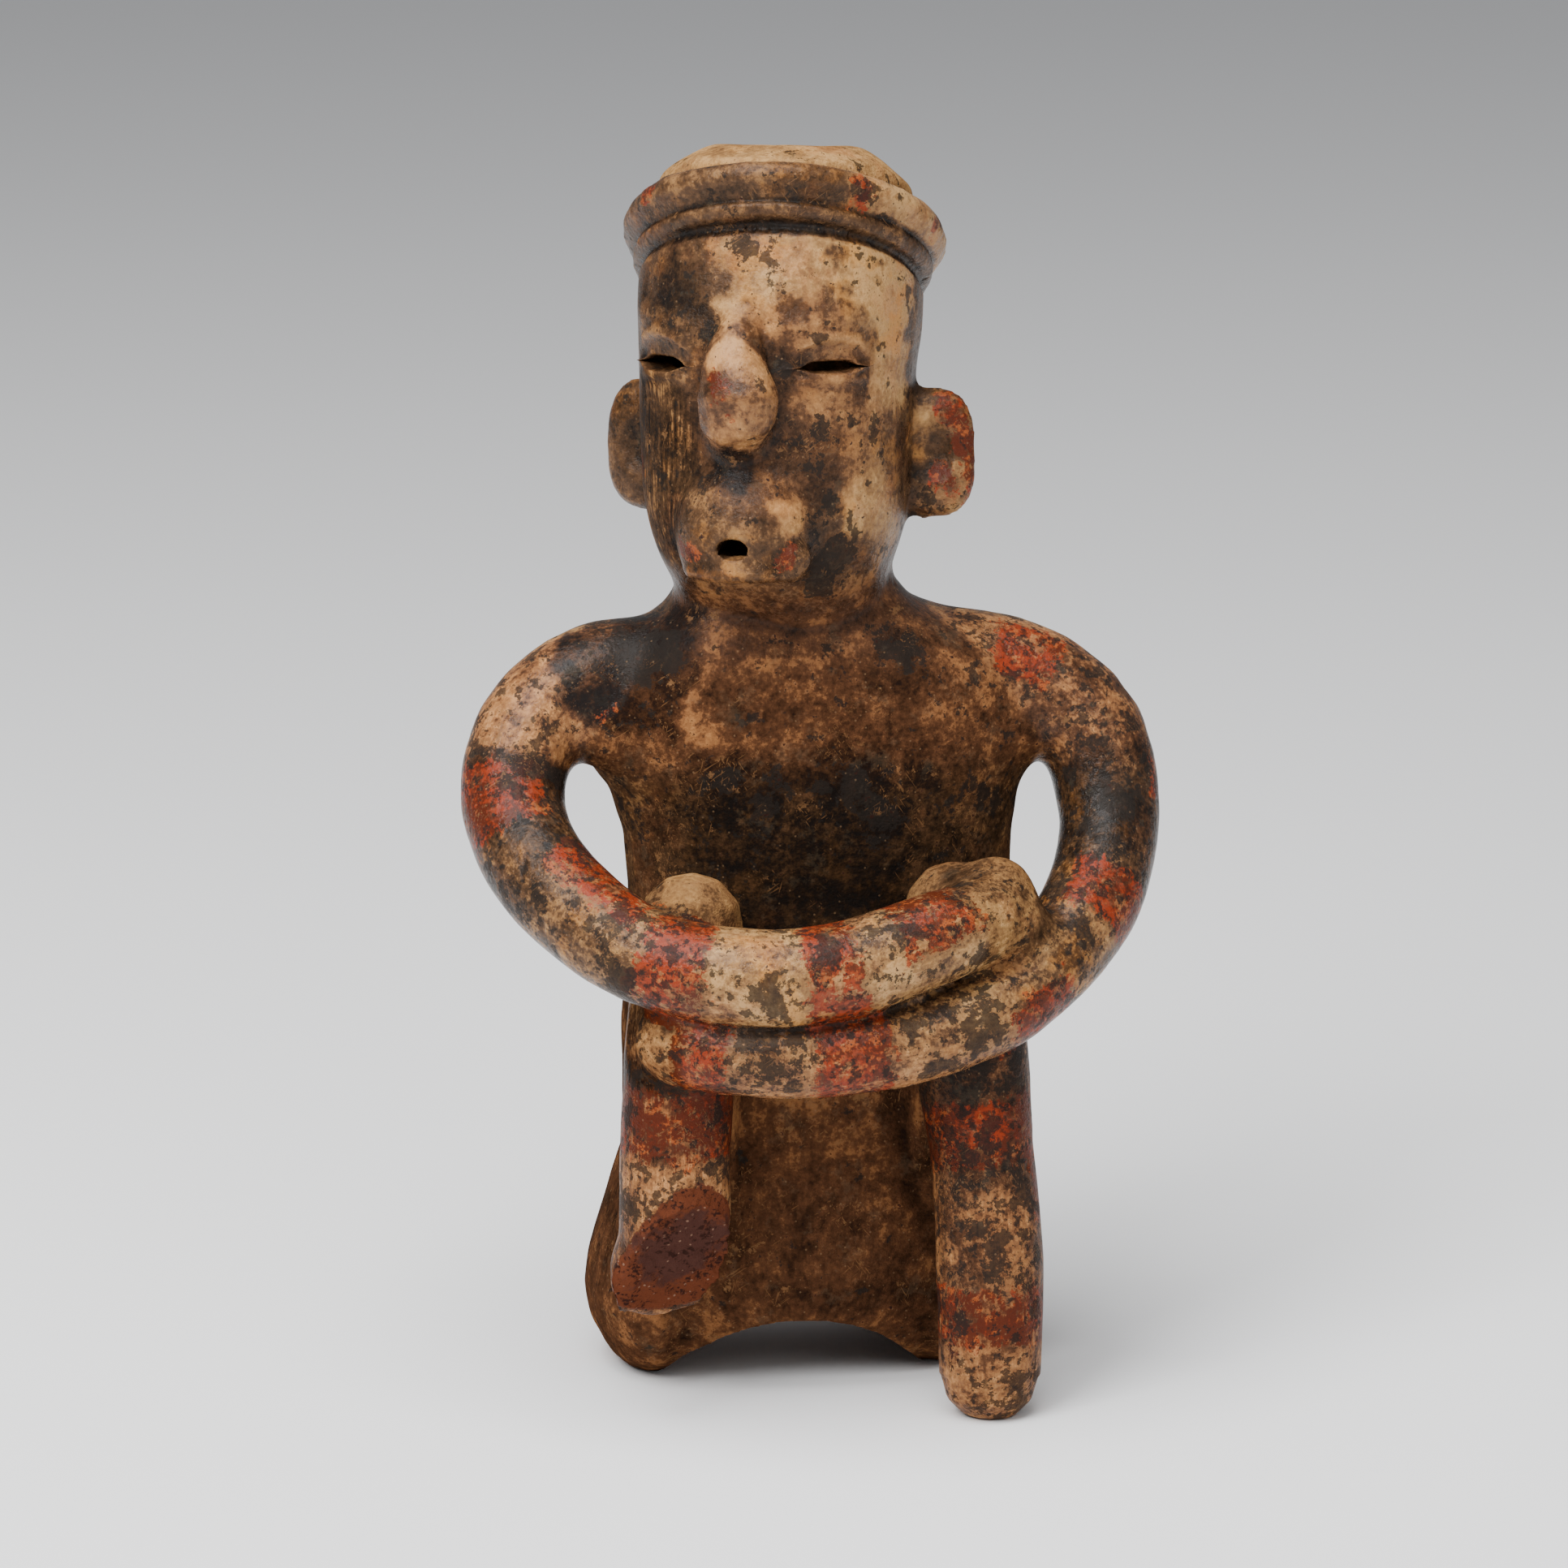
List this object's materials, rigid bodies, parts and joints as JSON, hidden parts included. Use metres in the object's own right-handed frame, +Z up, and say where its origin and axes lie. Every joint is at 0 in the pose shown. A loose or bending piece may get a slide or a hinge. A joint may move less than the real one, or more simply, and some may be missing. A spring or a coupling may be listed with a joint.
{
  "type": "nayarit figure",
  "caption": "Hollow fired-clay seated figure with coiled arms folded round its raised knees, turned head, headband and pierced eyes.",
  "frame": {"origin": "centre of the figure's bounding box at the ground that it sits on", "axes": "+Z up; the chest faces -Y; +X is the figure's left; the head is turned towards -X"},
  "size_m": [0.1402, 0.101, 0.25],
  "materials": {
    "slipped_clay": "burnished low-fired clay with brown, cream and red slip, black manganese spots, scratches and matt worn knees"
  },
  "bodies": {
    "root": {"figure": "slipped_clay"}
  },
  "joints": []
}
